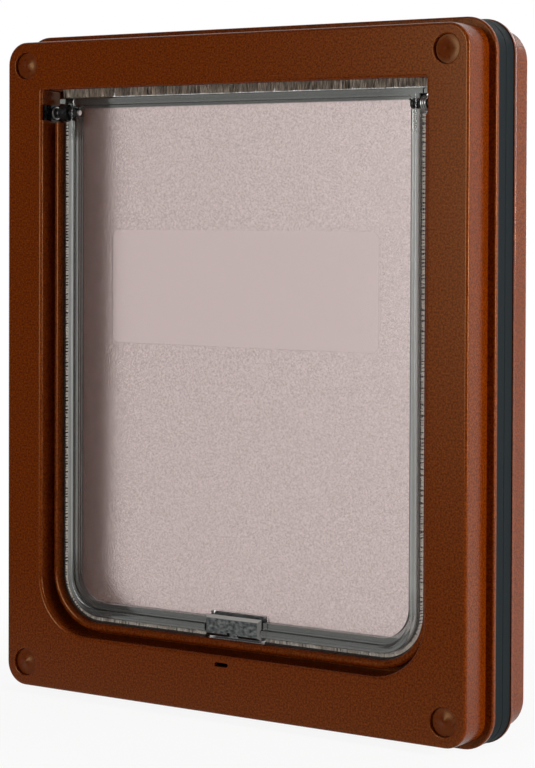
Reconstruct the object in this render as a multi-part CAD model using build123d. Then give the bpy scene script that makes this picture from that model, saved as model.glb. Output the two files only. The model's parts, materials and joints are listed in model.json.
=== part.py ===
from build123d import *
import math
import os

# Pet flap for a door: two frames that clamp the door leaf between black seals,
# a lined doorway with brush strips, and a clear flap on two pivots with a magnetic catch.
# Millimetres. X runs across the doorway, Y from the front face to the rear face, Z up.
# The origin is the middle of the part, on the plane where the two seals meet.

# Clamping frames, the same outside on both sides
FLANGE_WIDTH = 384.0
FLANGE_HEIGHT = 460.0
FLANGE_CORNER = 22.0
FLANGE_THICKNESS = 3.0
FLANGE_EDGE_ROUND = 1.3
FLANGE_SIDE_LEDGE = 5.5
FLANGE_END_LEDGE = 4.95
BEZEL_CORNER = 15.5
REAR_BEZEL_CORNER = 21.0
BEZEL_EDGE_ROUND = 2.0
FRAME_DEPTH = 27.5
WALL = 3.0
OPENING_EDGE_ROUND = 2.2
RIB_THICKNESS = 2.0
RIB_HEIGHT = 13.0
SIDE_RIB_PITCH = 95.0
CROSS_RIB_PITCH = 70.0

# Seals between the flanges
SEAL_THICKNESS = 10.0
SEAL_WIDTH = 12.0
SEAL_INSET = 0.6
SEAL_EDGE_ROUND = 0.8

# Face round the doorway, and the groove at its sides and sill for a closing panel
FACE_SIDE_WIDTH = 30.8
FACE_HEAD_WIDTH = 33.55
FACE_SILL_WIDTH = 39.05
OPENING_CORNER = 39.0
OPENING_TOP_CORNER = 1.5
GROOVE_DEPTH = 22.0
LATCH_SLOT_WIDTH = 10.7
LATCH_SLOT_HEIGHT = 2.8
LATCH_SLOT_DROP = 5.9

# Sleeves that line the door leaf, the front one sliding in the rear one
SLEEVE_SIDE_INSET = 7.7
SLEEVE_SILL_INSET = 8.4
SLEEVE_HEAD_RISE = 2.6
SLEEVE_CORNER = 33.0
SLEEVE_TOP_CORNER = 3.0
SLEEVE_WALL = 3.0
SLEEVE_SETBACK = 10.5
SLEEVE_LENGTH = 49.5
SLEEVE_CLEARANCE = 0.3
REAR_SLEEVE_LENGTH = 35.0
BEAD_WIDTH = 5.8
BEAD_DEPTH = 5.0
BEAD_CREST = 0.2

# Frame screws under domed caps
SCREW_SIDE_INSET = 16.3
SCREW_END_INSET = 16.35
FRONT_BOSS_RADIUS = 11.0
REAR_BOSS_RADIUS = 7.0
PILOT_RUN_OUT = 2.0
CAP_RADIUS = 9.0
CAP_CLEARANCE = 0.25
CAP_RIM_ROUND = 0.8
CAP_DEPTH = 5.5
CAP_RISE = 2.4
SCREW_HEAD_RADIUS = 4.6
SCREW_HEAD_HEIGHT = 3.6
SCREW_HEAD_CLEARANCE = 0.4
SCREW_HEAD_POCKET = 4.5
SCREW_RADIUS = 2.5
SCREW_LENGTH = 48.0
SCREW_HOLE_CLEARANCE = 0.2
SCREW_BITE_CLEARANCE = 0.02
SCREW_RECESS_RADIUS = 1.3
SCREW_RECESS_DEPTH = 2.0

# Flap: a clear tray with a rim, a ledge inside it and a thin textured panel
FLAP_SIDE_GAP = 5.0
FLAP_HEAD_GAP = 7.9
FLAP_SILL_GAP = 3.7
FLAP_CORNER = 28.4
FLAP_TOP_CORNER = 2.0
FLAP_SETBACK = 12.5
FLAP_DEPTH = 12.0
FLAP_EDGE_ROUND = 2.4
RIM_WIDTH = 5.7
RIM_INNER_ROUND = 2.0
LEDGE_SIDE_WIDTH = 1.8
LEDGE_TOP_WIDTH = 1.7
LEDGE_SILL_WIDTH = 4.2
LEDGE_SETBACK = 3.0
PANEL_SETBACK = 7.8
PANEL_THICKNESS = 3.0
TRAY_TOP_CORNER = 3.0
EAR_DEPTH = 10.0
EAR_NOSE_GAP = 4.6
EAR_GAP = 0.3
PLAQUE_WIDTH = 218.0
PLAQUE_HEIGHT = 78.0
PLAQUE_CORNER = 6.0
PLAQUE_DROP = 130.2
PLAQUE_SINK = 0.4

# Closing spring round the right pivot
SPRING_WIRE_RADIUS = 0.55
SPRING_RADIUS = 4.5
SPRING_TURNS = 3
SPRING_END_GAP = 0.5
SPRING_LEG_SEAT = 0.8
SPRING_LEG_CLEARANCE = 0.05
SPRING_SLOT_GAP = 0.35

# Pivots at the top corners of the flap
HINGE_DROP = 10.2
HINGE_DEPTH = 4.0
PIN_RADIUS = 2.0
PIN_RUNNING_CLEARANCE = 0.05
PIN_SEAT_CLEARANCE = 0.02
PIN_INNER_REACH = 1.5
PIN_CHAMFER = 0.4
PIN_END_GAP = 0.3
INSERT_SHANK_RADIUS = 3.4
INSERT_HEAD_RADIUS = 6.0
INSERT_HUB_RADIUS = 3.4
INSERT_SHANK_REACH = 1.2
INSERT_SEAT_CLEARANCE = 0.02
BUSH_CLEARANCE = 0.1
BUSH_SETBACK = 1.0
BUSH_TONGUE_DEPTH = 10.4
BUSH_BODY_WIDTH = 8.0
BUSH_BODY_HEIGHT = 18.0
BUSH_BODY_DEPTH = 20.0
BUSH_PIN_FLOOR = 1.0
BUSH_NOSE_RADIUS = 3.4
BUSH_NOSE_REACH = 2.4
CLIP_WIRE_RADIUS = 0.7
CLIP_SEAT_CLEARANCE = 0.02
CLIP_GAP_WIDTH = 2.6
SLOT_FRONT_CUT = 1.5
PIVOT_NOTCH_DROP = 6.8
PIVOT_NOTCH_DEPTH = 20.0

# Magnetic catch at the bottom of the flap
HOLDER_WIDTH = 45.5
HOLDER_RISE = 12.1
HOLDER_DROP = 2.1
HOLDER_PROUD = 0.5
HOLDER_FRONT_PLATE = 2.55
HOLDER_REAR_PLATE = 2.55
HOLDER_REAR_RISE = 1.3
HOLDER_REAR_CORNER = 3.5
HOLDER_BEVEL = 2.0
HOLDER_REAR_BEVEL = 0.8
HOLDER_NOTCH_WIDTH = 8.5
HOLDER_NOTCH_HEIGHT = 3.2
HOLDER_CLEARANCE = 0.1
HOLDER_FLOOR = 2.4
MAGNET_LENGTH = 38.0
MAGNET_THICKNESS = 7.6
MAGNET_HEIGHT = 8.0
MAGNET_CLEARANCE = 0.1
KEEPER_LENGTH = 38.0
KEEPER_DEPTH = 5.0
KEEPER_THICKNESS = 2.0
KEEPER_CLEARANCE = 0.1

# Brush strips on the sleeve
BRUSH_BACKING_WIDTH = 5.0
BRUSH_BACKING_THICKNESS = 1.2
BRUSH_PILE_WIDTH = 3.0
BRUSH_SETBACK = 3.2
BRUSH_FLAP_GAP = 0.3
BRUSH_CATCH_GAP = 1.5
BRUSH_EAR_GAP = 0.2

# Depths, worked out from the sizes above
CLAMP_FACE = -SEAL_THICKNESS
FRONT_FACE = CLAMP_FACE - FRAME_DEPTH
FLANGE_FRONT = CLAMP_FACE - FLANGE_THICKNESS
BACK_OF_FACE = FRONT_FACE + WALL
GROOVE_FLOOR = FRONT_FACE + GROOVE_DEPTH
SLEEVE_FRONT = FRONT_FACE + SLEEVE_SETBACK
SLEEVE_END = SLEEVE_FRONT + SLEEVE_LENGTH
REAR_FACE = -FRONT_FACE
REAR_SLEEVE_END = REAR_FACE - REAR_SLEEVE_LENGTH
CAP_SEAT = FRONT_FACE + CAP_DEPTH
HEAD_SEAT = CAP_SEAT + SCREW_HEAD_POCKET
FLAP_FRONT = FRONT_FACE + FLAP_SETBACK
FLAP_BACK = FLAP_FRONT + FLAP_DEPTH
EAR_BACK = FLAP_FRONT + EAR_DEPTH
LEDGE_FRONT = FLAP_FRONT + LEDGE_SETBACK
PANEL_FRONT = FLAP_FRONT + PANEL_SETBACK
PANEL_BACK = PANEL_FRONT + PANEL_THICKNESS
HINGE_Y = FLAP_FRONT + HINGE_DEPTH
HOLDER_FRONT = FLAP_FRONT - HOLDER_PROUD
MAGNET_FRONT = HOLDER_FRONT + HOLDER_FRONT_PLATE + MAGNET_CLEARANCE
MAGNET_BACK = MAGNET_FRONT + MAGNET_THICKNESS
HOLDER_BACK = MAGNET_BACK + MAGNET_CLEARANCE + HOLDER_REAR_PLATE
BRUSH_FRONT = FLAP_FRONT + BRUSH_SETBACK
BRUSH_BACK = BRUSH_FRONT + BRUSH_BACKING_WIDTH
PILE_FRONT = BRUSH_FRONT + (BRUSH_BACKING_WIDTH - BRUSH_PILE_WIDTH) / 2
PILE_BACK = PILE_FRONT + BRUSH_PILE_WIDTH

# Sides and levels, from the flange inwards
BEZEL_SIDE = FLANGE_WIDTH / 2 - FLANGE_SIDE_LEDGE
BEZEL_END = FLANGE_HEIGHT / 2 - FLANGE_END_LEDGE
SCREW_X = BEZEL_SIDE - SCREW_SIDE_INSET
SCREW_Z = BEZEL_END - SCREW_END_INSET
OPENING_SIDE = BEZEL_SIDE - FACE_SIDE_WIDTH
OPENING_TOP = BEZEL_END - FACE_HEAD_WIDTH
OPENING_BOTTOM = FACE_SILL_WIDTH - BEZEL_END
SLEEVE_SIDE = OPENING_SIDE - SLEEVE_SIDE_INSET
SLEEVE_TOP = OPENING_TOP + SLEEVE_HEAD_RISE
SLEEVE_BOTTOM = OPENING_BOTTOM + SLEEVE_SILL_INSET
WELL_SIDE = OPENING_SIDE + WALL
WELL_TOP = SLEEVE_TOP + SLEEVE_WALL
WELL_BOTTOM = OPENING_BOTTOM - WALL
REAR_SLEEVE_GROW = SLEEVE_WALL + SLEEVE_CLEARANCE
FLAP_SIDE = SLEEVE_SIDE - FLAP_SIDE_GAP
FLAP_TOP = SLEEVE_TOP - FLAP_HEAD_GAP
FLAP_BOTTOM = SLEEVE_BOTTOM + FLAP_SILL_GAP
RIM_INNER_SIDE = FLAP_SIDE - RIM_WIDTH
HINGE_Z = FLAP_TOP - HINGE_DROP
PIVOT_NOTCH_BOTTOM = HINGE_Z - PIVOT_NOTCH_DROP
BUSH_SLOT_HALF = SPRING_RADIUS + SPRING_WIRE_RADIUS + SPRING_SLOT_GAP
BUSH_FACE = OPENING_SIDE + BUSH_SETBACK
BUSH_END = WELL_SIDE + BUSH_BODY_WIDTH
BUSH_NOSE_END = BUSH_FACE - BUSH_NOSE_REACH
EAR_SIDE = BUSH_NOSE_END - EAR_NOSE_GAP
CLIP_X = BUSH_FACE - CLIP_WIRE_RADIUS - CLIP_SEAT_CLEARANCE
CLIP_RADIUS = BUSH_NOSE_RADIUS + CLIP_WIRE_RADIUS + CLIP_SEAT_CLEARANCE
EAR_BOTTOM = HINGE_Z + INSERT_HEAD_RADIUS + EAR_GAP
INSERT_INNER_END = RIM_INNER_SIDE - INSERT_SHANK_REACH
PIN_INNER_END = INSERT_INNER_END - PIN_INNER_REACH
PIN_OUTER_END = BUSH_END - BUSH_PIN_FLOOR
HOLDER_SIDE = HOLDER_WIDTH / 2
HOLDER_TOP = FLAP_BOTTOM + HOLDER_RISE
HOLDER_REAR_TOP = HOLDER_TOP + HOLDER_REAR_RISE
HOLDER_BOTTOM = FLAP_BOTTOM - HOLDER_DROP
MAGNET_BOTTOM = HOLDER_BOTTOM + HOLDER_FLOOR
BRUSH_CATCH_END = HOLDER_SIDE + BRUSH_CATCH_GAP
BRUSH_HEAD_END = EAR_SIDE - BRUSH_EAR_GAP

# The rounded top edge of the flap turns about the pivots inside this radius
TOP_ROUND_Z = FLAP_TOP - FLAP_EDGE_ROUND - HINGE_Z
TOP_ROUND_Y = max(HINGE_Y - FLAP_FRONT, FLAP_BACK - HINGE_Y) - FLAP_EDGE_ROUND
FLAP_TOP_SWEEP = math.hypot(TOP_ROUND_Y, TOP_ROUND_Z) + FLAP_EDGE_ROUND

CORNERS = {"top_left": (-1, 1), "top_right": (1, 1), "bottom_left": (-1, -1), "bottom_right": (1, -1)}


def layer(outline, front, back):
    """An outline drawn across the doorway, X across and Z up, from one depth to another."""
    return extrude(Plane.XZ.offset(-front) * outline, amount=front - back)


def block(x_span, y_span, z_span):
    """A box between two places on each axis."""
    spans = (x_span, y_span, z_span)
    middle = [(low + high) / 2 for low, high in spans]
    sizes = [abs(high - low) for low, high in spans]
    return Pos(*middle) * Box(*sizes)


def rod(radius, front, back, x, z):
    """A round bar along Y."""
    return Pos(x, (front + back) / 2, z) * Rot(90, 0, 0) * Cylinder(radius, back - front)


def axle(radius, inner, outer):
    """A round bar along X on the right pivot."""
    return Pos((inner + outer) / 2, HINGE_Y, HINGE_Z) * Rot(0, 90, 0) * Cylinder(radius, outer - inner)


def to_left(shape):
    """The left-hand copy of a right-hand shape."""
    return mirror(shape, about=Plane.YZ)


def both_sides(shape):
    return shape + to_left(shape)


def doorway(side, top, bottom, corner, top_corner):
    """A doorway outline with large corners at the sill and small ones at the top."""
    outline = Pos(0, (top + bottom) / 2) * Rectangle(2 * side, top - bottom)
    outline = fillet(outline.vertices().sort_by(Axis.Y)[:2], corner)
    return fillet(outline.vertices().sort_by(Axis.Y)[-2:], top_corner)


def opening_outline():
    return doorway(OPENING_SIDE, OPENING_TOP, OPENING_BOTTOM, OPENING_CORNER, OPENING_TOP_CORNER)


def sleeve_outline(grow=0.0):
    """The inside of the front sleeve, grown evenly."""
    return doorway(
        SLEEVE_SIDE + grow,
        SLEEVE_TOP + grow,
        SLEEVE_BOTTOM - grow,
        SLEEVE_CORNER + grow,
        SLEEVE_TOP_CORNER + grow,
    )


def flap_outline(side, top, bottom, top_corner):
    """The flap's outline moved in by a margin at the sides, top and sill."""
    return doorway(
        FLAP_SIDE - side,
        FLAP_TOP - top,
        FLAP_BOTTOM + bottom,
        FLAP_CORNER - side,
        top_corner,
    )


def ribs(inner_side, inner_top, inner_bottom):
    """Stiffening ribs in the hollow of a frame, from its lining to its outer wall."""
    depth = (BACK_OF_FACE, BACK_OF_FACE + RIB_HEIGHT)
    outer_side = BEZEL_SIDE - WALL
    outer_end = BEZEL_END - WALL
    half = RIB_THICKNESS / 2
    found = []
    for step in (-1, 0, 1):
        z = step * SIDE_RIB_PITCH
        found.append(both_sides(block((inner_side, outer_side), depth, (z - half, z + half))))
    for step in (0.5, 1.5):
        x = step * CROSS_RIB_PITCH
        found.append(both_sides(block((x - half, x + half), depth, (inner_top, outer_end))))
        found.append(both_sides(block((x - half, x + half), depth, (-outer_end, inner_bottom))))
    return found


def clamp_shell(corner):
    """Bezel and flange of a frame, hollow from the clamping side."""
    bezel = layer(RectangleRounded(2 * BEZEL_SIDE, 2 * BEZEL_END, corner), FRONT_FACE, CLAMP_FACE)
    bezel = fillet(bezel.edges().group_by(Axis.Y)[0], BEZEL_EDGE_ROUND)
    flange = layer(RectangleRounded(FLANGE_WIDTH, FLANGE_HEIGHT, FLANGE_CORNER), FLANGE_FRONT, CLAMP_FACE)
    flange = fillet(flange.edges().group_by(Axis.Y)[0], FLANGE_EDGE_ROUND)
    inside = RectangleRounded(2 * (BEZEL_SIDE - WALL), 2 * (BEZEL_END - WALL), corner - WALL)
    return bezel + flange - layer(inside, BACK_OF_FACE, CLAMP_FACE)


def face_rims(frame):
    """The rims of the holes in the face of a frame, the longest last."""
    return frame.faces().sort_by(Axis.Y)[0].inner_wires().sort_by(SortBy.LENGTH)


def round_doorway(frame):
    return fillet(face_rims(frame)[-1].edges(), OPENING_EDGE_ROUND)


def sleeve_bead():
    """The rounded front rim of the front sleeve, inside the doorway."""
    ring = layer(sleeve_outline(BEAD_WIDTH) - sleeve_outline(), SLEEVE_FRONT, SLEEVE_FRONT + BEAD_DEPTH)
    ring = fillet(ring.edges().group_by(Axis.Y)[0], (BEAD_WIDTH - BEAD_CREST) / 2)
    return ring & layer(opening_outline(), FRONT_FACE, GROOVE_FLOOR)


def pivot_cuts():
    """Slots in the doorway wall for the pivot bushes, and room in the sleeve for the flap's ears."""
    slot_z = (HINGE_Z - BUSH_SLOT_HALF, HINGE_Z + BUSH_SLOT_HALF)
    slot_back = HINGE_Y + BUSH_SLOT_HALF
    mouth = block((EAR_SIDE, OPENING_SIDE + SLOT_FRONT_CUT), (FRONT_FACE, BACK_OF_FACE), slot_z)
    slot = block((EAR_SIDE, WELL_SIDE), (BACK_OF_FACE, slot_back), slot_z)
    ear_room = block(
        (RIM_INNER_SIDE, SLEEVE_SIDE + BEAD_WIDTH),
        (SLEEVE_FRONT, SLEEVE_FRONT + PIVOT_NOTCH_DEPTH),
        (PIVOT_NOTCH_BOTTOM, SLEEVE_TOP),
    )
    return both_sides(mouth + slot + ear_room)


def front_frame():
    well = doorway(WELL_SIDE, WELL_TOP, WELL_BOTTOM, OPENING_CORNER + WALL, WALL)
    frame = clamp_shell(BEZEL_CORNER) + layer(well, FRONT_FACE, GROOVE_FLOOR + WALL)
    cap_recess = CAP_RADIUS + CAP_CLEARANCE
    for side, level in CORNERS.values():
        frame -= rod(cap_recess, FRONT_FACE, BACK_OF_FACE, side * SCREW_X, level * SCREW_Z)
    frame = fillet([edge for rim in face_rims(frame) for edge in rim.edges()], CAP_RIM_ROUND)
    frame = round_doorway(frame - layer(opening_outline(), FRONT_FACE, GROOVE_FLOOR))
    for rib in ribs(WELL_SIDE, WELL_TOP, WELL_BOTTOM):
        frame += rib
    frame += layer(sleeve_outline(SLEEVE_WALL), GROOVE_FLOOR, SLEEVE_END)
    frame += sleeve_bead()
    wall_front = SLEEVE_FRONT + BEAD_WIDTH / 2
    frame += layer(sleeve_outline(SLEEVE_WALL), wall_front, GROOVE_FLOOR)
    frame -= layer(sleeve_outline(), BACK_OF_FACE, SLEEVE_END)
    frame -= pivot_cuts()
    for side, level in CORNERS.values():
        x = side * SCREW_X
        z = level * SCREW_Z
        frame += rod(FRONT_BOSS_RADIUS, BACK_OF_FACE, CLAMP_FACE, x, z)
        frame -= rod(cap_recess, BACK_OF_FACE, CAP_SEAT, x, z)
        frame -= rod(SCREW_HEAD_RADIUS + SCREW_HEAD_CLEARANCE, CAP_SEAT, HEAD_SEAT, x, z)
        frame -= rod(SCREW_RADIUS + SCREW_HOLE_CLEARANCE, HEAD_SEAT, CLAMP_FACE, x, z)
    slot_z = OPENING_BOTTOM - LATCH_SLOT_DROP
    slot = Pos(0, slot_z) * SlotOverall(LATCH_SLOT_WIDTH, LATCH_SLOT_HEIGHT)
    frame -= layer(slot, FRONT_FACE, BACK_OF_FACE)
    return frame - keeper_space(KEEPER_CLEARANCE)


def rear_frame():
    """The outside frame: drawn like the front one, then turned to face the other way."""
    lining = sleeve_outline(REAR_SLEEVE_GROW + SLEEVE_WALL)
    lining_side = SLEEVE_SIDE + REAR_SLEEVE_GROW + SLEEVE_WALL
    lining_top = SLEEVE_TOP + REAR_SLEEVE_GROW + SLEEVE_WALL
    lining_bottom = SLEEVE_BOTTOM - REAR_SLEEVE_GROW - SLEEVE_WALL
    frame = clamp_shell(REAR_BEZEL_CORNER) + layer(lining, FRONT_FACE + WALL / 2, -REAR_SLEEVE_END)
    frame = round_doorway(frame - layer(sleeve_outline(REAR_SLEEVE_GROW), FRONT_FACE, -REAR_SLEEVE_END))
    for rib in ribs(lining_side, lining_top, lining_bottom):
        frame += rib
    pilot_end = -(HEAD_SEAT + SCREW_LENGTH + PILOT_RUN_OUT)
    for side, level in CORNERS.values():
        x = side * SCREW_X
        z = level * SCREW_Z
        frame += rod(REAR_BOSS_RADIUS, BACK_OF_FACE, CLAMP_FACE, x, z)
        frame -= rod(SCREW_RADIUS + SCREW_BITE_CLEARANCE, pilot_end, CLAMP_FACE, x, z)
    return mirror(frame, about=Plane.XZ)


def seal(front, back):
    """A black sealing ring that fills the edge of the gap between the flanges."""
    outer = RectangleRounded(
        FLANGE_WIDTH - 2 * SEAL_INSET,
        FLANGE_HEIGHT - 2 * SEAL_INSET,
        FLANGE_CORNER - SEAL_INSET,
    )
    inset = SEAL_INSET + SEAL_WIDTH
    inner = RectangleRounded(FLANGE_WIDTH - 2 * inset, FLANGE_HEIGHT - 2 * inset, FLANGE_CORNER - inset)
    body = layer(outer, front, back)
    outside = body.edges().group_by(Axis.Y)
    body = fillet(outside[0] + outside[-1], SEAL_EDGE_ROUND)
    return body - layer(inner, front, back)


def screw_cap(x, z):
    """A push-in cap with a shallow dome that rises to the bezel's face."""
    ball_radius = (CAP_RADIUS**2 + CAP_RISE**2) / (2 * CAP_RISE)
    crown = (0, FRONT_FACE)
    brim = (CAP_RADIUS, FRONT_FACE + CAP_RISE)
    dome = RadiusArc(crown, brim, ball_radius)
    rest = Polyline(brim, (CAP_RADIUS, CAP_SEAT), (0, CAP_SEAT), crown)
    return Pos(x, 0, z) * revolve(make_face(dome + rest), Axis.Y)


def frame_screw(x, z):
    """A pan-head screw from the front frame into a boss of the rear frame."""
    head = rod(SCREW_HEAD_RADIUS, HEAD_SEAT - SCREW_HEAD_HEIGHT, HEAD_SEAT, x, z)
    head = fillet(head.edges().group_by(Axis.Y)[0], SCREW_HEAD_HEIGHT / 2)
    shank = rod(SCREW_RADIUS, HEAD_SEAT, HEAD_SEAT + SCREW_LENGTH, x, z)
    shank = chamfer(shank.edges().group_by(Axis.Y)[-1], SCREW_RADIUS / 2)
    top = HEAD_SEAT - SCREW_HEAD_HEIGHT
    drive = layer(Pos(x, z) * RegularPolygon(SCREW_RECESS_RADIUS, 6), top, top + SCREW_RECESS_DEPTH)
    return head + shank - drive


def flap():
    """One clear moulding: rim, ledge, panel and an ear over each pivot."""
    slab = layer(flap_outline(0, 0, 0, FLAP_TOP_CORNER), FLAP_FRONT, FLAP_BACK)
    faces = slab.edges().group_by(Axis.Y)
    slab = fillet(faces[0] + faces[-1], FLAP_EDGE_ROUND)
    ear_bar = block((-EAR_SIDE, EAR_SIDE), (FLAP_FRONT, EAR_BACK), (EAR_BOTTOM, FLAP_TOP))
    top_edges = ear_bar.edges().filter_by(Axis.X).group_by(Axis.Z)[-1]
    slab += fillet(top_edges, FLAP_EDGE_ROUND)
    side = RIM_WIDTH + LEDGE_SIDE_WIDTH
    top = RIM_WIDTH + LEDGE_TOP_WIDTH
    sill = RIM_WIDTH + LEDGE_SILL_WIDTH
    tray = flap_outline(RIM_WIDTH, RIM_WIDTH, RIM_WIDTH, TRAY_TOP_CORNER)
    slab -= layer(tray, FLAP_FRONT, LEDGE_FRONT)
    slab -= layer(tray, PANEL_BACK, FLAP_BACK)
    rim = slab.faces().sort_by(Axis.Y)[0]
    slab = fillet(rim.inner_wires()[0].edges(), RIM_INNER_ROUND)
    slab -= layer(flap_outline(side, top, sill, TRAY_TOP_CORNER), LEDGE_FRONT, PANEL_FRONT)
    plaque = Pos(0, FLAP_TOP - PLAQUE_DROP) * RectangleRounded(PLAQUE_WIDTH, PLAQUE_HEIGHT, PLAQUE_CORNER)
    slab -= layer(plaque, PANEL_FRONT, PANEL_FRONT + PLAQUE_SINK)
    pin_room = PIN_INNER_END - PIN_END_GAP
    slab -= both_sides(axle(INSERT_SHANK_RADIUS + INSERT_SEAT_CLEARANCE, pin_room, FLAP_SIDE))
    catch_side = HOLDER_SIDE + HOLDER_CLEARANCE
    catch_z = (FLAP_BOTTOM, HOLDER_REAR_TOP + HOLDER_CLEARANCE)
    return slab - block((-catch_side, catch_side), (FLAP_FRONT, HOLDER_BACK), catch_z)


def pivot_insert(head_radius):
    """A black bearing pressed through the flap's rim, on the right."""
    shank = axle(INSERT_SHANK_RADIUS, INSERT_INNER_END, FLAP_SIDE)
    head = axle(head_radius, FLAP_SIDE, EAR_SIDE)
    return shank + head - axle(PIN_RADIUS + PIN_RUNNING_CLEARANCE, INSERT_INNER_END, EAR_SIDE)


def hinge_pin():
    """A steel pin from the bush, through the insert, into the tray of the flap."""
    pin = axle(PIN_RADIUS, PIN_INNER_END, PIN_OUTER_END)
    ends = pin.edges().filter_by(GeomType.CIRCLE)
    return chamfer(ends, PIN_CHAMFER)


def hinge_bush():
    """A black block behind the doorway wall, with a tongue in its slot and a nose, on the right."""
    half_slot = BUSH_SLOT_HALF - BUSH_CLEARANCE
    tongue_back = HINGE_Y + half_slot
    tongue = block(
        (BUSH_FACE, BUSH_END),
        (tongue_back - BUSH_TONGUE_DEPTH, tongue_back),
        (HINGE_Z - half_slot, HINGE_Z + half_slot),
    )
    half_height = BUSH_BODY_HEIGHT / 2
    body = block(
        (WELL_SIDE, BUSH_END),
        (HINGE_Y - BUSH_BODY_DEPTH / 2, HINGE_Y + BUSH_BODY_DEPTH / 2),
        (HINGE_Z - half_height, HINGE_Z + half_height),
    )
    nose = axle(BUSH_NOSE_RADIUS, BUSH_NOSE_END, BUSH_FACE)
    return tongue + body + nose - axle(PIN_RADIUS + PIN_SEAT_CLEARANCE, BUSH_NOSE_END, PIN_OUTER_END)


def pin_clip():
    """A round-wire spring clip on the nose of the bush, open at the rear."""
    ring = Pos(CLIP_X, HINGE_Y, HINGE_Z) * Rot(0, 90, 0) * Torus(CLIP_RADIUS, CLIP_WIRE_RADIUS)
    half = CLIP_GAP_WIDTH / 2
    gap = block(
        (CLIP_X - CLIP_WIRE_RADIUS, CLIP_X + CLIP_WIRE_RADIUS),
        (HINGE_Y, HINGE_Y + CLIP_RADIUS + CLIP_WIRE_RADIUS),
        (HINGE_Z - half, HINGE_Z + half),
    )
    return ring - gap


def spring_leg(radius, reach):
    """The straight end of the spring, which sits in the right bush."""
    start = EAR_SIDE - SPRING_END_GAP - SPRING_WIRE_RADIUS
    middle = Pos((start + reach) / 2, HINGE_Y + SPRING_RADIUS, HINGE_Z)
    return middle * Rot(0, 90, 0) * Cylinder(radius, reach - start)


def closing_spring():
    """A steel torsion spring coiled round the hub of the right insert."""
    first = FLAP_SIDE + SPRING_END_GAP + SPRING_WIRE_RADIUS
    last = EAR_SIDE - SPRING_END_GAP - SPRING_WIRE_RADIUS
    length = last - first
    coil = Helix(pitch=length / SPRING_TURNS, height=length, radius=SPRING_RADIUS)
    section = Plane(origin=coil @ 0, z_dir=coil % 0) * Circle(SPRING_WIRE_RADIUS)
    wire = sweep(section, path=coil, is_frenet=True)
    wire = Pos(first, HINGE_Y, HINGE_Z) * Rot(0, 90, 0) * Rot(0, 0, 90) * wire
    return wire + spring_leg(SPRING_WIRE_RADIUS, BUSH_FACE + SPRING_LEG_SEAT)


def magnet_holder():
    """A channel across the flap's lower rim: a notched front plate, a taller rear plate and a floor."""
    across = (-HOLDER_SIDE, HOLDER_SIDE)
    front_back = HOLDER_FRONT + HOLDER_FRONT_PLATE
    front = block(across, (HOLDER_FRONT, front_back), (HOLDER_BOTTOM, HOLDER_TOP))
    front = chamfer(front.edges().group_by(Axis.Y)[0], HOLDER_BEVEL)
    notch_top = HOLDER_BOTTOM + HOLDER_NOTCH_HEIGHT
    half_notch = HOLDER_NOTCH_WIDTH / 2
    front -= block((-half_notch, half_notch), (HOLDER_FRONT, front_back), (HOLDER_BOTTOM, notch_top))
    floor = block(across, (front_back, HOLDER_BACK), (HOLDER_BOTTOM, MAGNET_BOTTOM))
    rear_height = HOLDER_REAR_TOP - HOLDER_BOTTOM
    rear = RectangleRounded(HOLDER_WIDTH, rear_height, HOLDER_REAR_CORNER)
    rear = Pos(0, HOLDER_BOTTOM + rear_height / 2) * rear
    rear = layer(rear, HOLDER_BACK - HOLDER_REAR_PLATE, HOLDER_BACK)
    rear = chamfer(rear.edges().group_by(Axis.Y)[0], HOLDER_REAR_BEVEL)
    return front + floor + rear


def flap_magnet():
    return block(
        (-MAGNET_LENGTH / 2, MAGNET_LENGTH / 2),
        (MAGNET_FRONT, MAGNET_BACK),
        (MAGNET_BOTTOM, MAGNET_BOTTOM + MAGNET_HEIGHT),
    )


def keeper_space(clearance):
    """The keeper bar's place in the sill, under the flap's magnet."""
    half_length = KEEPER_LENGTH / 2 + clearance
    half_depth = KEEPER_DEPTH / 2 + clearance
    middle = (MAGNET_FRONT + MAGNET_BACK) / 2
    return block(
        (-half_length, half_length),
        (middle - half_depth, middle + half_depth),
        (SLEEVE_BOTTOM - KEEPER_THICKNESS, SLEEVE_BOTTOM),
    )


def side_brush():
    """The right strip: down the side of the sleeve, round its corner and along the sill."""
    pile_inner = flap_outline(-BRUSH_FLAP_GAP, -BRUSH_FLAP_GAP, -BRUSH_FLAP_GAP, TRAY_TOP_CORNER)
    backing_inner = sleeve_outline(-BRUSH_BACKING_THICKNESS)
    backing = layer(sleeve_outline() - backing_inner, BRUSH_FRONT, BRUSH_BACK)
    pile = layer(backing_inner - pile_inner, PILE_FRONT, PILE_BACK)
    reach = block(
        (BRUSH_CATCH_END, SLEEVE_SIDE),
        (BRUSH_FRONT, BRUSH_BACK),
        (SLEEVE_BOTTOM, PIVOT_NOTCH_BOTTOM),
    )
    return (backing + pile) & reach


def top_brush():
    """The strip over the flap, on the head of the sleeve."""
    across = (-BRUSH_HEAD_END, BRUSH_HEAD_END)
    backing_bottom = SLEEVE_TOP - BRUSH_BACKING_THICKNESS
    tip = HINGE_Z + FLAP_TOP_SWEEP + BRUSH_FLAP_GAP
    backing = block(across, (BRUSH_FRONT, BRUSH_BACK), (backing_bottom, SLEEVE_TOP))
    return backing + block(across, (PILE_FRONT, PILE_BACK), (tip, backing_bottom))


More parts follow.
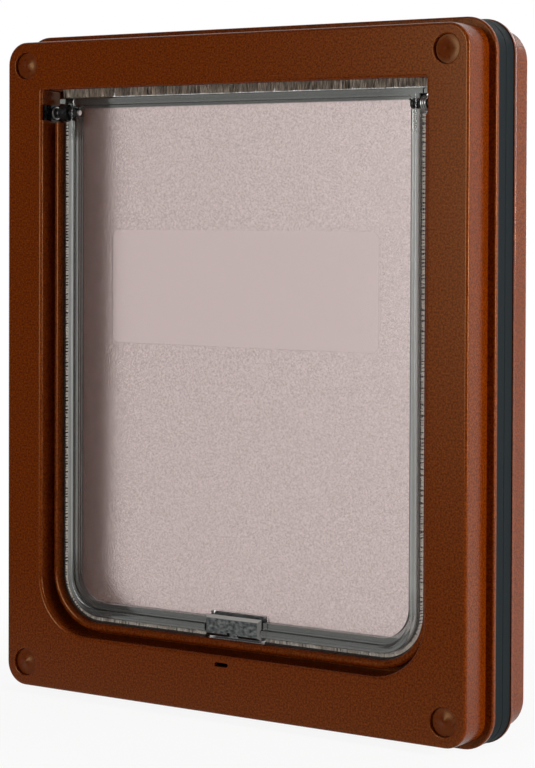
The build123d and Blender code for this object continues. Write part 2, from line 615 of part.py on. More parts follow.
def all_nodes():
    leg_hole = spring_leg(SPRING_WIRE_RADIUS + SPRING_LEG_CLEARANCE, BUSH_FACE + SPRING_LEG_SEAT)
    nodes = {
        "front_frame": front_frame(),
        "rear_frame": rear_frame(),
        "front_seal": seal(CLAMP_FACE, 0),
        "rear_seal": seal(0, SEAL_THICKNESS),
        "flap": flap(),
        "magnet_holder": magnet_holder(),
        "flap_magnet": flap_magnet(),
        "keeper_magnet": keeper_space(0),
        "brush_right": side_brush(),
        "brush_left": to_left(side_brush()),
        "brush_top": top_brush(),
        "pivot_insert_right": pivot_insert(INSERT_HUB_RADIUS),
        "pivot_insert_left": to_left(pivot_insert(INSERT_HEAD_RADIUS)),
        "hinge_bush_right": hinge_bush() - leg_hole,
        "hinge_bush_left": to_left(hinge_bush()),
        "hinge_pin_right": hinge_pin(),
        "hinge_pin_left": to_left(hinge_pin()),
        "pin_clip_right": pin_clip(),
        "pin_clip_left": to_left(pin_clip()),
        "closing_spring": closing_spring(),
    }
    for corner, (side, level) in CORNERS.items():
        x = side * SCREW_X
        z = level * SCREW_Z
        nodes["screw_cap_" + corner] = screw_cap(x, z)
        nodes["frame_screw_" + corner] = frame_screw(x, z)
    return nodes


os.makedirs("parts", exist_ok=True)
for name, shape in all_nodes().items():
    export_step(shape, os.path.join("parts", name + ".step"))
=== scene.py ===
import json
import math
import random

import bmesh
import bpy
from mathutils import Matrix, Vector


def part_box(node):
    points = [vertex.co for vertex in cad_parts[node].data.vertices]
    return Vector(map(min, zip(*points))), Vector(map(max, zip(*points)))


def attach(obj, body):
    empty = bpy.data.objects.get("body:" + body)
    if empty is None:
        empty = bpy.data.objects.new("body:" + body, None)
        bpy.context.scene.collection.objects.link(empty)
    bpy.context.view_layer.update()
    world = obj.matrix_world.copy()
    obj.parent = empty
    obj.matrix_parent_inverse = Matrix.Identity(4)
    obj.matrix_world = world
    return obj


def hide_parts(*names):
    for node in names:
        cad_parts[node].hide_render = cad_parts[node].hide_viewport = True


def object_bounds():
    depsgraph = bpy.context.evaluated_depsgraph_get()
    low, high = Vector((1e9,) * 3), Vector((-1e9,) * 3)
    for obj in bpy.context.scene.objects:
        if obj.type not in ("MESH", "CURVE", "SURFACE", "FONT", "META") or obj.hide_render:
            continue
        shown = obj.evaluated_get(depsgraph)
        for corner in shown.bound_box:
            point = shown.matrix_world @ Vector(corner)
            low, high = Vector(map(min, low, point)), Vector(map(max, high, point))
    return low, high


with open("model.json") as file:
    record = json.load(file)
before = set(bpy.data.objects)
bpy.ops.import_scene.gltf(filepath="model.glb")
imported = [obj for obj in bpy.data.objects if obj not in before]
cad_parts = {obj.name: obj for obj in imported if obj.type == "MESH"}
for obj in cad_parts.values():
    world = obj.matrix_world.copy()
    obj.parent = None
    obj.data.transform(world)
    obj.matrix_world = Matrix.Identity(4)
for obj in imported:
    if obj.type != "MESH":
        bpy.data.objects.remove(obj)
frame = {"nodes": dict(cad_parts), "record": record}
cad_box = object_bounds()
nodes = frame["nodes"]
MM = 0.001

# Sleeve and flap, from the solids and the gap between them
brush_low, brush_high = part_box("brush_right")
flap_low, flap_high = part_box("flap")
SLEEVE_SIDE = brush_high.x
SLEEVE_SILL = brush_low.z
SLEEVE_CORNER = 33.0 * MM
FLAP_SIDE_GAP = 5.0 * MM
FLAP_SIDE = SLEEVE_SIDE - FLAP_SIDE_GAP
FLAP_TOP = flap_high.z
FLAP_BOTTOM = flap_low.z
FLAP_FRONT = flap_low.y
FLAP_CORNER = 28.4 * MM

# Brush strips on the sleeve: a backing strip and rows of fibres in tufts
BACKING_THICKNESS = 1.2 * MM
BACKING_CORNER_STEPS = 16
PILE_FLAP_GAP = 0.3 * MM
FIBRE_RADIUS = 0.32 * MM
FIBRE_TAPER = 0.45
FIBRE_STEP = 0.5 * MM
FIBRE_ROWS = 9
FIBRE_ROW_STEP = 0.5 * MM
FIBRE_CORNERS = (0.0, -2.1, -4.2)
FIBRE_SECTION = [Vector((math.sin(turn), math.cos(turn), 0.0)) for turn in FIBRE_CORNERS]

# How far single fibres stray: in depth, at their tips, in length and along the strip
FIBRE_ROW_STRAY = 0.2 * MM
FIBRE_SPLAY = 0.25 * MM
FIBRE_SHORTEST = 0.9
FIBRE_STEP_STRAY = 0.4

# Lean of the fibres: shares of the full lean in slow waves, in each tuft and in each fibre
FIBRE_LEAN = math.radians(24)
WAVE_LEAN = 0.3
WAVE_TURNS = (0.21, 0.057)
TUFT_STEPS = (2, 3)
SIDE_TUFTS = {"gap_steps": (1, 2), "tuft_lean": 0.45, "stray_lean": 0.15}
HEAD_TUFTS = {"gap_steps": (1, 1), "tuft_lean": 0.2, "stray_lean": 0.35}

# Zones of the flap's finish: the panel, reaching just past its faces, and the plaque in it
PANEL_SIDE = FLAP_SIDE - 7.4 * MM
PANEL_BOTTOM = FLAP_BOTTOM + 9.8 * MM
PANEL_TOP = FLAP_TOP - 7.3 * MM
PANEL_FRONT = FLAP_FRONT + 7.7 * MM
PANEL_BACK = PANEL_FRONT + 3.2 * MM
PLAQUE_SIDE = 109.0 * MM
PLAQUE_TOP = FLAP_TOP - 91.2 * MM
PLAQUE_BOTTOM = PLAQUE_TOP - 78.0 * MM

# Zones of the flap's rim: places between which its sides, its straight run above the lower corners
# and its hinge ends fade in, and the painted light lines round its tray wall
RIM_SIDE_START = (FLAP_SIDE - 29.0 * MM, FLAP_SIDE - 9.0 * MM)
RIM_CORNER_END = (FLAP_BOTTOM + 11.9 * MM, FLAP_BOTTOM + 45.9 * MM)
HINGE_ZONE_START = (FLAP_TOP - 30.2 * MM, FLAP_TOP - 18.2 * MM)
LINE_START = FLAP_FRONT + 0.33 * MM
LINE_STEP = 2.36 * MM
LINE_EDGE = 0.3

# Clear plastic: shares and levels of its finish; the rim's tones at sill and sides and its line tone are
# painted light and shade
PLAQUE_TONE = 0.53
PANEL_CLEARNESS = 0.93
TRAY_AT_SILL = 0.4
RIM_TONE_SILL = 0.19
RIM_TONE_SIDES = 0.46
PAINTED_LINE_LIGHT = 0.58
VEIL_BETWEEN_LINES = 0.3
VEIL_ON_LINES = 0.65
RIM_ROUGHNESS = 0.12
PANEL_ROUGHNESS = 0.24
DEPTH_TINT = (0.55, 0.57, 0.54, 1.0)
DEPTH_TINT_DENSITY = 85.0

# Painted highlight on the zinc's upper bevels: limits between a bevel and a square face, and between a
# lower and an upper bevel
BEVEL_TO_SQUARE = (0.75, 0.97)
LOWER_TO_UPPER = (-0.5, 0.5)
ZINC_BLOOM = 0.2

# Limits that most of a soft noise lies between
NOISE_LOW = 0.3
NOISE_HIGH = 0.7

# Darkest and lightest shade of each finish
BROWN_SHADES = ((0.082, 0.0106, 0.0003), (0.172, 0.0275, 0.0006))
CAP_SHADES = ((0.098, 0.015, 0.001), (0.128, 0.022, 0.002))
SEAL_SHADES = ((0.005, 0.008, 0.009), (0.010, 0.014, 0.016))
RIM_SHADES = ((0.0, 0.0, 0.0), (0.62, 0.624, 0.606))
PANEL_SHADES = ((0.52, 0.425, 0.412), (0.722, 0.59, 0.573))
# The zinc's lightest shade is the painted highlight on its upper bevels; its bloom reaches a fifth of the
# way there
ZINC_SHADES = ((0.068, 0.08, 0.081), (0.86, 0.83, 0.79))
BLACK_SHADES = ((0.006, 0.006, 0.006), (0.013, 0.013, 0.013))
STEEL_SHADES = ((0.80, 0.78, 0.75), (0.94, 0.92, 0.89))
MAGNET_SHADES = ((0.012, 0.012, 0.012), (0.03, 0.03, 0.03))
# One fibre on all strips: the side strips' shades are painted lighter against the doorway's shade, the head
# strip's painted darker as shade
SIDE_PILE_SHADES = ((0.38, 0.325, 0.27), (0.92, 0.84, 0.75))
HEAD_PILE_SHADES = ((0.03, 0.023, 0.017), (0.8, 0.65, 0.51))
BACKING_SHADES = ((0.012, 0.010, 0.008), (0.06, 0.05, 0.042))
BROWN_GLINT = (1.0, 0.62, 0.3, 1.0)

# Camera: the photograph's viewing angle, framing and lens
CAMERA_PLACE = (0.927, -1.3095, 0.107)
CAMERA_AZIMUTH = math.radians(35.0)
CAMERA_PITCH = math.radians(1.29)
CAMERA_ROLL = math.radians(0.22)
CAMERA_LENS = 112.1
CAMERA_SHIFT = -0.153

# Floor: its reach, and its share of the object's shadow, which fades out between two distances
FLOOR_REACH = 6.0
FLOOR_SHADOW = 0.1
FLOOR_SHADOW_REACH = 0.15
FLOOR_WHITE_REACH = 0.6

# Room: its even fill, and its shade in reflections, dark in front of the object and white behind it
FILL_LIGHT = 0.05
ROOM_SHADE = 0.08
ROOM_DARK_END = -0.4
ROOM_WHITE_START = 0.2

# Places of the colour sockets on a Mix node, whose names they share with its number sockets
MIX_SHARE = 0
MIX_FIRST = 6
MIX_SECOND = 7
MIX_RESULT = 2


# Material building

def new_finish(name, **sockets):
    """A material with one Principled shader whose plain sockets are set by name."""
    material = bpy.data.materials.new(name)
    material.use_nodes = True
    tree = material.node_tree
    shader = tree.nodes["Principled BSDF"]
    for socket, value in sockets.items():
        shader.inputs[socket.replace("_", " ")].default_value = value
    return material, tree, shader


def place(tree):
    """Where a point of the piece is, in metres."""
    return tree.nodes.new("ShaderNodeTexCoord").outputs["Object"]


def along(tree, axis, vector=None):
    """One axis of a vector, or of the place of a point of the piece."""
    axes = tree.nodes.new("ShaderNodeSeparateXYZ")
    tree.links.new(vector or place(tree), axes.inputs["Vector"])
    return axes.outputs[axis]


def speckle(tree, spots, detail=2.0, stretch=(1.0, 1.0, 1.0)):
    """Soft noise with about that many spots to the metre, more or fewer along each axis."""
    mapping = tree.nodes.new("ShaderNodeMapping")
    mapping.inputs["Scale"].default_value = stretch
    noise = tree.nodes.new("ShaderNodeTexNoise")
    noise.inputs["Scale"].default_value = spots
    noise.inputs["Detail"].default_value = detail
    tree.links.new(place(tree), mapping.inputs["Vector"])
    tree.links.new(mapping.outputs["Vector"], noise.inputs["Vector"])
    return noise.outputs["Fac"]


def spread(tree, value, low, high, start=NOISE_LOW, end=NOISE_HIGH):
    """A value between start and end as a number between low and high."""
    limits = tree.nodes.new("ShaderNodeMapRange")
    for socket, number in (("From Min", start), ("From Max", end), ("To Min", low), ("To Max", high)):
        limits.inputs[socket].default_value = number
    tree.links.new(value, limits.inputs["Value"])
    return limits.outputs["Result"]


def by_share(tree, share, low, high):
    """Low where the share is 0 and high where it is 1."""
    return spread(tree, share, low, high, start=0.0, end=1.0)


def shades(tree, value, ends, start=NOISE_LOW, end=NOISE_HIGH):
    """A value between start and end as a colour between two shades."""
    ramp = tree.nodes.new("ShaderNodeValToRGB")
    for element, position, colour in zip(ramp.color_ramp.elements, (start, end), ends):
        element.position = position
        element.color = (*colour, 1.0)
    tree.links.new(value, ramp.inputs["Fac"])
    return ramp.outputs["Color"]


def combine(tree, operation, first, second=0.0):
    """One or two values put through one operation. Either may be a plain number."""
    step = tree.nodes.new("ShaderNodeMath")
    step.operation = operation
    for socket, value in zip(step.inputs, (first, second)):
        if isinstance(value, (int, float)):
            socket.default_value = value
        else:
            tree.links.new(value, socket)
    return step.outputs["Value"]


def zone(tree, spans):
    """1 inside a box given as low and high on each named axis, and 0 outside it."""
    inside = 1.0
    for axis, (low, high) in spans.items():
        test = tree.nodes.new("ShaderNodeMath")
        test.operation = "COMPARE"
        tree.links.new(along(tree, axis), test.inputs[0])
        test.inputs[1].default_value = (low + high) / 2
        test.inputs[2].default_value = (high - low) / 2
        inside = combine(tree, "MULTIPLY", test.outputs["Value"], inside)
    return inside


def blend(tree, share, first, second):
    """The first colour where the share is 0 and the second where it is 1."""
    mix = tree.nodes.new("ShaderNodeMix")
    mix.data_type = "RGBA"
    for socket, source in ((MIX_SHARE, share), (MIX_FIRST, first), (MIX_SECOND, second)):
        tree.links.new(source, mix.inputs[socket])
    return mix.outputs[MIX_RESULT]


def depth_lines(tree, start, step):
    """1 on lines round the piece that are one step of depth apart, and 0 between them."""
    turns = combine(tree, "DIVIDE", combine(tree, "SUBTRACT", along(tree, "Y"), start), step / math.tau)
    return spread(tree, combine(tree, "COSINE", turns), 0.0, 1.0, LINE_EDGE, 1.0)


def relief(tree, shader, height, depth, strength):
    """Fine relief of that depth in metres."""
    bump = tree.nodes.new("ShaderNodeBump")
    bump.inputs["Distance"].default_value = depth
    bump.inputs["Strength"].default_value = strength
    tree.links.new(height, bump.inputs["Height"])
    tree.links.new(bump.outputs["Normal"], shader.inputs["Normal"])


def colour_and_gloss(tree, shader, noise, ends, smooth, rough, start=NOISE_LOW, end=NOISE_HIGH):
    """Colour and roughness that follow one noise. The colour turns between start and end."""
    tree.links.new(shades(tree, noise, ends, start, end), shader.inputs["Base Color"])
    tree.links.new(spread(tree, noise, smooth, rough), shader.inputs["Roughness"])


# Finishes of the pieces

def moulded_brown():
    """Brown plastic with a fine spark-eroded grain."""
    material, tree, shader = new_finish("moulded_brown", Specular_IOR_Level=0.36, Specular_Tint=BROWN_GLINT)
    grain = speckle(tree, spots=800, detail=3.0)
    colour_and_gloss(tree, shader, grain, BROWN_SHADES, smooth=0.2, rough=0.27, start=0.37, end=0.63)
    relief(tree, shader, speckle(tree, spots=1200, detail=3.0), depth=0.13 * MM, strength=0.45)
    return material


def cap_brown():
    """The same brown plastic, smoother from its polished mould."""
    material, tree, shader = new_finish("cap_brown", Specular_IOR_Level=0.3, Specular_Tint=BROWN_GLINT)
    mottle = speckle(tree, spots=500, detail=3.0)
    colour_and_gloss(tree, shader, mottle, CAP_SHADES, smooth=0.26, rough=0.36)
    return material


def seal_rubber():
    """Black foam rubber, dull and slightly mottled."""
    material, tree, shader = new_finish("seal_rubber", Specular_IOR_Level=0.08)
    mottle = speckle(tree, spots=220, detail=4.0)
    colour_and_gloss(tree, shader, mottle, SEAL_SHADES, smooth=0.55, rough=0.75)
    relief(tree, shader, speckle(tree, spots=900, detail=3.0), depth=0.1 * MM, strength=0.4)
    return material


def rim_zones(tree):
    """Shares of the flap's rim: its upright sides, the tray wall along it and the painted light lines on
    that wall.
    """
    height = along(tree, "Z")
    aside = combine(tree, "ABSOLUTE", along(tree, "X"))
    above_corners = spread(tree, height, 0.0, 1.0, *RIM_CORNER_END)
    sides = combine(tree, "MULTIPLY", spread(tree, aside, 0.0, 1.0, *RIM_SIDE_START), above_corners)
    hinges = combine(tree, "MULTIPLY", sides, spread(tree, height, 0.0, 1.0, *HINGE_ZONE_START))
    tray = combine(tree, "SUBTRACT", by_share(tree, sides, TRAY_AT_SILL, 1.0), hinges)
    lines = combine(tree, "MULTIPLY", depth_lines(tree, LINE_START, LINE_STEP), tray)
    return sides, tray, lines


def clear_flap():
    """Clear plastic, with a pebbled satin panel and a smooth satin plaque, and a rim with painted light on
    its sides and lines.
    """
    material, tree, shader = new_finish("clear_flap", IOR=1.47)
    panel = zone(tree, {
        "X": (-PANEL_SIDE, PANEL_SIDE),
        "Y": (PANEL_FRONT, PANEL_BACK),
        "Z": (PANEL_BOTTOM, PANEL_TOP),
    })
    plaque = zone(tree, {"X": (-PLAQUE_SIDE, PLAQUE_SIDE), "Z": (PLAQUE_BOTTOM, PLAQUE_TOP)})
    pebbled = combine(tree, "MULTIPLY", panel, combine(tree, "SUBTRACT", 1.0, plaque))
    pebbles = speckle(tree, spots=950)
    grain = combine(tree, "MULTIPLY", combine(tree, "SUBTRACT", pebbles, PLAQUE_TONE), pebbled)
    panel_tone = combine(tree, "ADD", grain, PLAQUE_TONE)
    panel_tint = shades(tree, panel_tone, PANEL_SHADES, start=0.36, end=0.62)

    sides, tray, lines = rim_zones(tree)
    # Painted light and shade on the rim: lighter sides, darker sill and lower corners, and light lines
    # round the tray wall,
    # standing in for light refracted and reflected in the clear plastic
    painted_line_light = combine(tree, "MULTIPLY", lines, PAINTED_LINE_LIGHT)
    painted_rim_light = combine(tree, "ADD", by_share(tree, sides, RIM_TONE_SILL, RIM_TONE_SIDES), painted_line_light)
    rim_tint = shades(tree, painted_rim_light, RIM_SHADES, start=0.0, end=1.0)
    veil = by_share(tree, lines, VEIL_BETWEEN_LINES, VEIL_ON_LINES)
    rim_clear = combine(tree, "SUBTRACT", 1.0, combine(tree, "MULTIPLY", veil, tray))
    clear = combine(tree, "MAXIMUM", combine(tree, "MULTIPLY", panel, PANEL_CLEARNESS), rim_clear)

    tree.links.new(blend(tree, panel, rim_tint, panel_tint), shader.inputs["Base Color"])
    tree.links.new(by_share(tree, panel, RIM_ROUGHNESS, PANEL_ROUGHNESS), shader.inputs["Roughness"])
    tree.links.new(clear, shader.inputs["Transmission Weight"])
    relief(tree, shader, combine(tree, "MULTIPLY", pebbles, pebbled), depth=0.3 * MM, strength=0.6)
    depth_tint = tree.nodes.new("ShaderNodeVolumeAbsorption")
    depth_tint.inputs["Color"].default_value = DEPTH_TINT
    depth_tint.inputs["Density"].default_value = DEPTH_TINT_DENSITY
    tree.links.new(depth_tint.outputs["Volume"], tree.nodes["Material Output"].inputs["Volume"])
    return material


def painted_bevel_highlight(tree):
    """Painted highlight: 1 on bevels that look up, less on upright ones, and 0 on lower ones and on square
    faces.
    """
    facing = tree.nodes.new("ShaderNodeTexCoord").outputs["Normal"]
    steepest = 0.0
    for axis in "XYZ":
        steepest = combine(tree, "MAXIMUM", combine(tree, "ABSOLUTE", along(tree, axis, facing)), steepest)
    slanted = spread(tree, steepest, 1.0, 0.0, *BEVEL_TO_SQUARE)
    upper = spread(tree, along(tree, "Z", facing), 0.0, 1.0, *LOWER_TO_UPPER)
    return combine(tree, "MULTIPLY", slanted, upper)


def zinc_plate():
    """Zinc-plated steel with a cloudy bluish bloom, and a painted highlight along its upper bevels."""
    material, tree, shader = new_finish("zinc_plate", Metallic=1.0)
    bloom = speckle(tree, spots=360, detail=4.0, stretch=(1.0, 1.0, 1.6))
    # The tone is the bloom, raised by the painted highlight on the upper bevels
    tone = combine(tree, "MAXIMUM", spread(tree, bloom, 0.0, ZINC_BLOOM), painted_bevel_highlight(tree))
    tree.links.new(shades(tree, tone, ZINC_SHADES, start=0.0, end=1.0), shader.inputs["Base Color"])
    tree.links.new(spread(tree, bloom, low=0.28, high=0.45), shader.inputs["Roughness"])
    relief(tree, shader, speckle(tree, spots=1500), depth=0.05 * MM, strength=0.4)
    return material


def satin_black():
    """Black moulded plastic with a satin sheen."""
    material, tree, shader = new_finish("satin_black", Specular_IOR_Level=0.5)
    mottle = speckle(tree, spots=500, detail=3.0)
    colour_and_gloss(tree, shader, mottle, BLACK_SHADES, smooth=0.22, rough=0.34)
    return material


def bright_steel():
    """Drawn steel with fine marks along X."""
    material, tree, shader = new_finish("bright_steel", Metallic=1.0)
    marks = speckle(tree, spots=900, detail=3.0, stretch=(0.1, 1.0, 1.0))
    colour_and_gloss(tree, shader, marks, STEEL_SHADES, smooth=0.28, rough=0.42)
    return material


def magnet_grey():
    """Sintered magnet, dull dark grey with a coarse grain."""
    material, tree, shader = new_finish("magnet_grey", Metallic=0.4)
    grain = speckle(tree, spots=1200, detail=3.0)
    colour_and_gloss(tree, shader, grain, MAGNET_SHADES, smooth=0.45, rough=0.65)
    return material


def pile_fibre(name, ends, **strands):
    """Brush fibres in mixed shades of beige grey; the side and head copies are painted lighter and darker
    for their shade.
    """
    material, tree, shader = new_finish(name, Roughness=0.6, Sheen_Weight=0.3)
    tree.links.new(shades(tree, speckle(tree, **strands), ends), shader.inputs["Base Color"])
    return material


def brush_backing():
    """Dark woven backing of the brush strips."""
    material, tree, shader = new_finish("brush_backing", Specular_IOR_Level=0.1)
    weave = speckle(tree, spots=1500)
    colour_and_gloss(tree, shader, weave, BACKING_SHADES, smooth=0.6, rough=0.8)
    return material


FINISHES = {
    "brown_plastic": moulded_brown(),
    "seal_rubber": seal_rubber(),
    "clear_plastic": clear_flap(),
    "zinc_steel": zinc_plate(),
    "black_plastic": satin_black(),
    "steel": bright_steel(),
    "magnet": magnet_grey(),
    "brush_pile": pile_fibre("pile_fibre", SIDE_PILE_SHADES, spots=1300),
}
# The head strip's fibre is a darker copy of the side strips' fibre: painted shade under the head
HEAD_PILE_FINISH = pile_fibre("head_fibre_painted_shade", HEAD_PILE_SHADES, spots=700, stretch=(1.0, 1.0, 0.15))
CAP_FINISH = cap_brown()
BACKING_FINISH = brush_backing()
for part in frame["record"]["subparts"]:
    is_cap = part["node"].startswith("screw_cap")
    for holder in nodes[part["node"]].material_slots:
        holder.material = CAP_FINISH if is_cap else FINISHES[part["material_slot"]]


# Brush strips

def finished_piece(name, mesh, fibre_finish, body, replaced):
    """Turns a bmesh into a piece that rides on a body and stands for a solid."""
    data = bpy.data.meshes.new(name)
    mesh.to_mesh(data)
    mesh.free()
    data.materials.append(fibre_finish)
    data.materials.append(BACKING_FINISH)
    piece = bpy.data.objects.new(name, data)
    bpy.context.scene.collection.objects.link(piece)
    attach(piece, body)
    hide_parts(replaced)


def fibre_root(mesh, runs, root, run):
    """The root of one fibre: a small triangle across its run, which it remembers."""
    turn = run.to_track_quat("Z", "Y")
    face = mesh.faces.new([mesh.verts.new(root + turn @ corner * FIBRE_RADIUS) for corner in FIBRE_SECTION])
    face[runs] = run
    return face


def grow_fibres(mesh, stations, chance, gap_steps, tuft_lean, stray_lean):
    """Rows of leaning, tapered fibres in tufts. A station is a root, a tip and the way along the strip."""
    runs = mesh.faces.layers.float_vector.new("run")
    roots = []
    tuft_end = 0
    next_tuft = 0
    tuft_turn = 0.0
    for count, (root, tip, way) in enumerate(stations):
        if count == next_tuft:
            tuft_end = count + chance.randint(*TUFT_STEPS)
            next_tuft = tuft_end + chance.randint(*gap_steps)
            tuft_turn = chance.uniform(-tuft_lean, tuft_lean)
        if count >= tuft_end:
            continue
        wave = sum(math.sin(count * turn) for turn in WAVE_TURNS)
        reach = tip - root
        for row in range(FIBRE_ROWS):
            depth = (row - (FIBRE_ROWS - 1) / 2) * FIBRE_ROW_STEP
            depth += chance.uniform(-FIBRE_ROW_STRAY, FIBRE_ROW_STRAY)
            lean = FIBRE_LEAN * (WAVE_LEAN * wave + tuft_turn + chance.uniform(-stray_lean, stray_lean))
            splay = Vector((0.0, chance.uniform(-FIBRE_SPLAY, FIBRE_SPLAY), 0.0))
            run = reach * chance.uniform(FIBRE_SHORTEST, 1.0) + way * math.tan(lean) * reach.length + splay
            shift = way * chance.uniform(-FIBRE_STEP_STRAY, FIBRE_STEP_STRAY) * FIBRE_STEP
            roots.append(fibre_root(mesh, runs, root + Vector((0.0, depth, 0.0)) + shift, run))
    for end in bmesh.ops.extrude_discrete_faces(mesh, faces=roots)["faces"]:
        middle = end.calc_center_median()
        for vert in end.verts:
            vert.co = vert.co.lerp(middle, FIBRE_TAPER) + end[runs]
    mesh.faces.layers.float_vector.remove(runs)


def side_stations(level_top, end_x, depth):
    """Roots and tips down the right wall, round the corner and along the sill."""
    root_side = SLEEVE_SIDE - BACKING_THICKNESS
    tip_side = FLAP_SIDE + PILE_FLAP_GAP
    root_sill = SLEEVE_SILL + BACKING_THICKNESS
    tip_sill = FLAP_BOTTOM - PILE_FLAP_GAP
    root_corner = Vector((SLEEVE_SIDE - SLEEVE_CORNER, depth, SLEEVE_SILL + SLEEVE_CORNER))
    tip_corner = Vector((FLAP_SIDE - FLAP_CORNER, depth, FLAP_BOTTOM + FLAP_CORNER))
    level = level_top
    while level > SLEEVE_SILL + SLEEVE_CORNER:
        yield Vector((root_side, depth, level)), Vector((tip_side, depth, level)), Vector((0, 0, 1))
        level -= FIBRE_STEP
    steps = int(SLEEVE_CORNER * math.pi / 2 / FIBRE_STEP)
    for step in range(steps):
        angle = math.pi / 2 * step / steps
        out = Vector((math.cos(angle), 0.0, -math.sin(angle)))
        root = root_corner + out * (SLEEVE_CORNER - BACKING_THICKNESS)
        tip = tip_corner + out * (FLAP_CORNER + PILE_FLAP_GAP)
        yield root, tip, Vector((math.sin(angle), 0.0, math.cos(angle)))
    across = SLEEVE_SIDE - SLEEVE_CORNER
    while across > end_x:
        yield Vector((across, depth, root_sill)), Vector((across, depth, tip_sill)), Vector((1, 0, 0))
        across -= FIBRE_STEP


def mark_backing(mesh):
    """Gives the faces made so far the backing's finish, which is the piece's second one."""
    for face in mesh.faces:
        face.material_index = 1


def draw_out(mesh, faces, way):
    """Extrudes faces by a vector and returns what was made."""
    made = bmesh.ops.extrude_face_region(mesh, geom=faces)["geom"]
    verts = [item for item in made if isinstance(item, bmesh.types.BMVert)]
    bmesh.ops.translate(mesh, verts=verts, vec=way)
    return made


def side_backing(mesh):
    """The backing strip: one section drawn down the wall, round the corner and along the sill."""
    inner = SLEEVE_SIDE - BACKING_THICKNESS
    front, back = brush_low.y, brush_high.y
    corner = Vector((SLEEVE_SIDE - SLEEVE_CORNER, 0.0, SLEEVE_SILL + SLEEVE_CORNER))
    places = ((inner, front), (SLEEVE_SIDE, front), (SLEEVE_SIDE, back), (inner, back))
    section = mesh.faces.new([mesh.verts.new((x, y, brush_high.z)) for x, y in places])
    run = draw_out(mesh, [section], (0.0, 0.0, corner.z - brush_high.z))
    turned = bmesh.ops.spin(
        mesh, geom=run, cent=corner, axis=(0.0, 1.0, 0.0), angle=math.pi / 2, steps=BACKING_CORNER_STEPS
    )["geom_last"]
    end = [item for item in turned if isinstance(item, bmesh.types.BMFace)]
    draw_out(mesh, end, (brush_low.x - corner.x, 0.0, 0.0))
    bmesh.ops.recalc_face_normals(mesh, faces=mesh.faces[:])
    mark_backing(mesh)


def side_pile(side, seed):
    """A side strip, built on the right and mirrored for the left."""
    mesh = bmesh.new()
    side_backing(mesh)
    stations = side_stations(brush_high.z, brush_low.x, (brush_low.y + brush_high.y) / 2)
    grow_fibres(mesh, stations, random.Random(seed), **SIDE_TUFTS)
    if side == "left":
        bmesh.ops.scale(mesh, vec=(-1.0, 1.0, 1.0), verts=mesh.verts[:])
        bmesh.ops.reverse_faces(mesh, faces=mesh.faces[:])
    finished_piece("pile_" + side, mesh, FINISHES["brush_pile"], "frame", "brush_" + side)


def head_pile(seed):
    """The strip over the flap, with its fibres hanging down."""
    low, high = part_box("brush_top")
    root = high.z - BACKING_THICKNESS
    tip = FLAP_TOP + PILE_FLAP_GAP
    depth = (low.y + high.y) / 2
    mesh = bmesh.new()
    bmesh.ops.create_cube(mesh, size=1.0)
    bmesh.ops.scale(mesh, vec=(high.x - low.x, high.y - low.y, BACKING_THICKNESS), verts=mesh.verts[:])
    bmesh.ops.translate(mesh, vec=(0.0, depth, high.z - BACKING_THICKNESS / 2), verts=mesh.verts[:])
    mark_backing(mesh)
    count = int((high.x - low.x) / FIBRE_STEP)
    places = [low.x + (step + 0.5) * FIBRE_STEP for step in range(count)]
    stations = [(Vector((x, depth, root)), Vector((x, depth, tip)), Vector((1, 0, 0))) for x in places]
    grow_fibres(mesh, stations, random.Random(seed), **HEAD_TUFTS)
    finished_piece("pile_top", mesh, HEAD_PILE_FINISH, "frame", "brush_top")


side_pile("right", seed=11)
side_pile("left", seed=12)
head_pile(seed=13)


# Floor, light and camera

def seen_rays(tree):
    """1 for rays of the camera, of reflections and through clear pieces, and 0 for other rays."""
    path = tree.nodes.new("ShaderNodeLightPath")
    seen = combine(tree, "MAXIMUM", path.outputs["Is Camera Ray"], path.outputs["Is Glossy Ray"])
    return combine(tree, "MAXIMUM", seen, path.outputs["Is Transmission Ray"])


def seen_white(tree, outward):
    """1 for rays of the camera and through clear pieces. Reflections get darker towards the front."""
    path = tree.nodes.new("ShaderNodeLightPath")
    rearward = along(tree, "Y", outward)
    room = spread(tree, rearward, ROOM_SHADE, 1.0, ROOM_DARK_END, ROOM_WHITE_START)
    reflected = combine(tree, "MULTIPLY", path.outputs["Is Glossy Ray"], room)
    direct = combine(tree, "MAXIMUM", path.outputs["Is Camera Ray"], path.outputs["Is Transmission Ray"])
    return combine(tree, "MAXIMUM", direct, reflected)


def white_world():
    """A white backdrop that lights the object with an even fill."""
    world = bpy.data.worlds.new("studio")
    world.use_nodes = True
    tree = world.node_tree
    view = tree.nodes.new("ShaderNodeTexCoord").outputs["Generated"]
    level = combine(tree, "MAXIMUM", seen_white(tree, view), FILL_LIGHT)
    backdrop = tree.nodes["Background"]
    backdrop.inputs["Color"].default_value = (1.0, 1.0, 1.0, 1.0)
    tree.links.new(level, backdrop.inputs["Strength"])
    bpy.context.scene.world = world


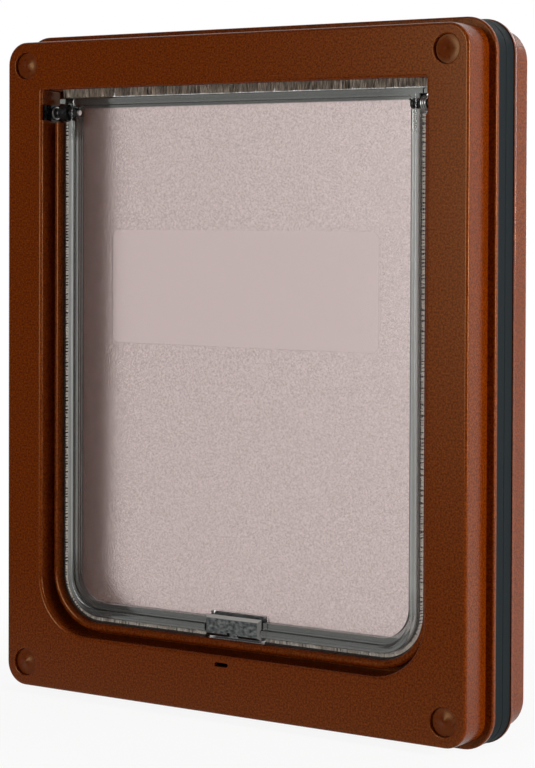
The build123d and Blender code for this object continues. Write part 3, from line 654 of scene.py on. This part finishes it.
def floor_white():
    """White for the rays that are seen, apart from a soft share of the object's shadow near the object."""
    material, tree, shader = new_finish("floor_white", Base_Color=(0.9, 0.9, 0.9, 1.0), Roughness=0.9)
    glow = tree.nodes.new("ShaderNodeEmission")
    mix = tree.nodes.new("ShaderNodeMixShader")
    away = tree.nodes.new("ShaderNodeVectorMath")
    away.operation = "LENGTH"
    tree.links.new(place(tree), away.inputs[0])
    distance = away.outputs["Value"]
    white = spread(tree, distance, 1.0 - FLOOR_SHADOW, 1.0, FLOOR_SHADOW_REACH, FLOOR_WHITE_REACH)
    tree.links.new(combine(tree, "MULTIPLY", seen_rays(tree), white), mix.inputs["Fac"])
    tree.links.new(seen_white(tree, place(tree)), glow.inputs["Strength"])
    lit, white_glow = mix.inputs[1:]
    tree.links.new(shader.outputs["BSDF"], lit)
    tree.links.new(glow.outputs["Emission"], white_glow)
    tree.links.new(mix.outputs["Shader"], tree.nodes["Material Output"].inputs["Surface"])
    return material


def pale_floor(level):
    """A wide floor under the object."""
    mesh = bmesh.new()
    bmesh.ops.create_grid(mesh, x_segments=1, y_segments=1, size=FLOOR_REACH)
    data = bpy.data.meshes.new("floor")
    mesh.to_mesh(data)
    mesh.free()
    data.materials.append(floor_white())
    floor = bpy.data.objects.new("floor", data)
    floor.location.z = level
    bpy.context.scene.collection.objects.link(floor)


def softbox(name, spot, width, height, power):
    """A rectangular soft light that points at the object's middle."""
    lamp = bpy.data.lights.new(name, "AREA")
    lamp.shape = "RECTANGLE"
    lamp.size = width
    lamp.size_y = height
    lamp.energy = power
    light = bpy.data.objects.new(name, lamp)
    light.location = spot
    light.rotation_euler = (-Vector(spot)).to_track_quat("-Z", "Y").to_euler()
    bpy.context.scene.collection.objects.link(light)


def photo_camera():
    """The camera at the photograph's viewpoint."""
    data = bpy.data.cameras.new("camera")
    data.lens = CAMERA_LENS
    data.shift_y = CAMERA_SHIFT
    camera = bpy.data.objects.new("camera", data)
    camera.matrix_world = (
        Matrix.Translation(CAMERA_PLACE)
        @ Matrix.Rotation(CAMERA_AZIMUTH, 4, "Z")
        @ Matrix.Rotation(math.pi / 2 - CAMERA_PITCH, 4, "X")
        @ Matrix.Rotation(CAMERA_ROLL, 4, "Z")
    )
    bpy.context.scene.collection.objects.link(camera)
    bpy.context.scene.camera = camera


bpy.context.scene.view_settings.view_transform = "Standard"
white_world()
pale_floor(cad_box[0].z)
softbox("front_light", spot=(-0.6, -2.5, 0.3), width=0.6, height=1.6, power=36.0)
softbox("side_light", spot=(2.6, -0.04, 0.5), width=0.12, height=1.6, power=75.0)
softbox("back_light", spot=(0.1, 2.4, 0.6), width=0.5, height=1.2, power=20.0)
photo_camera()
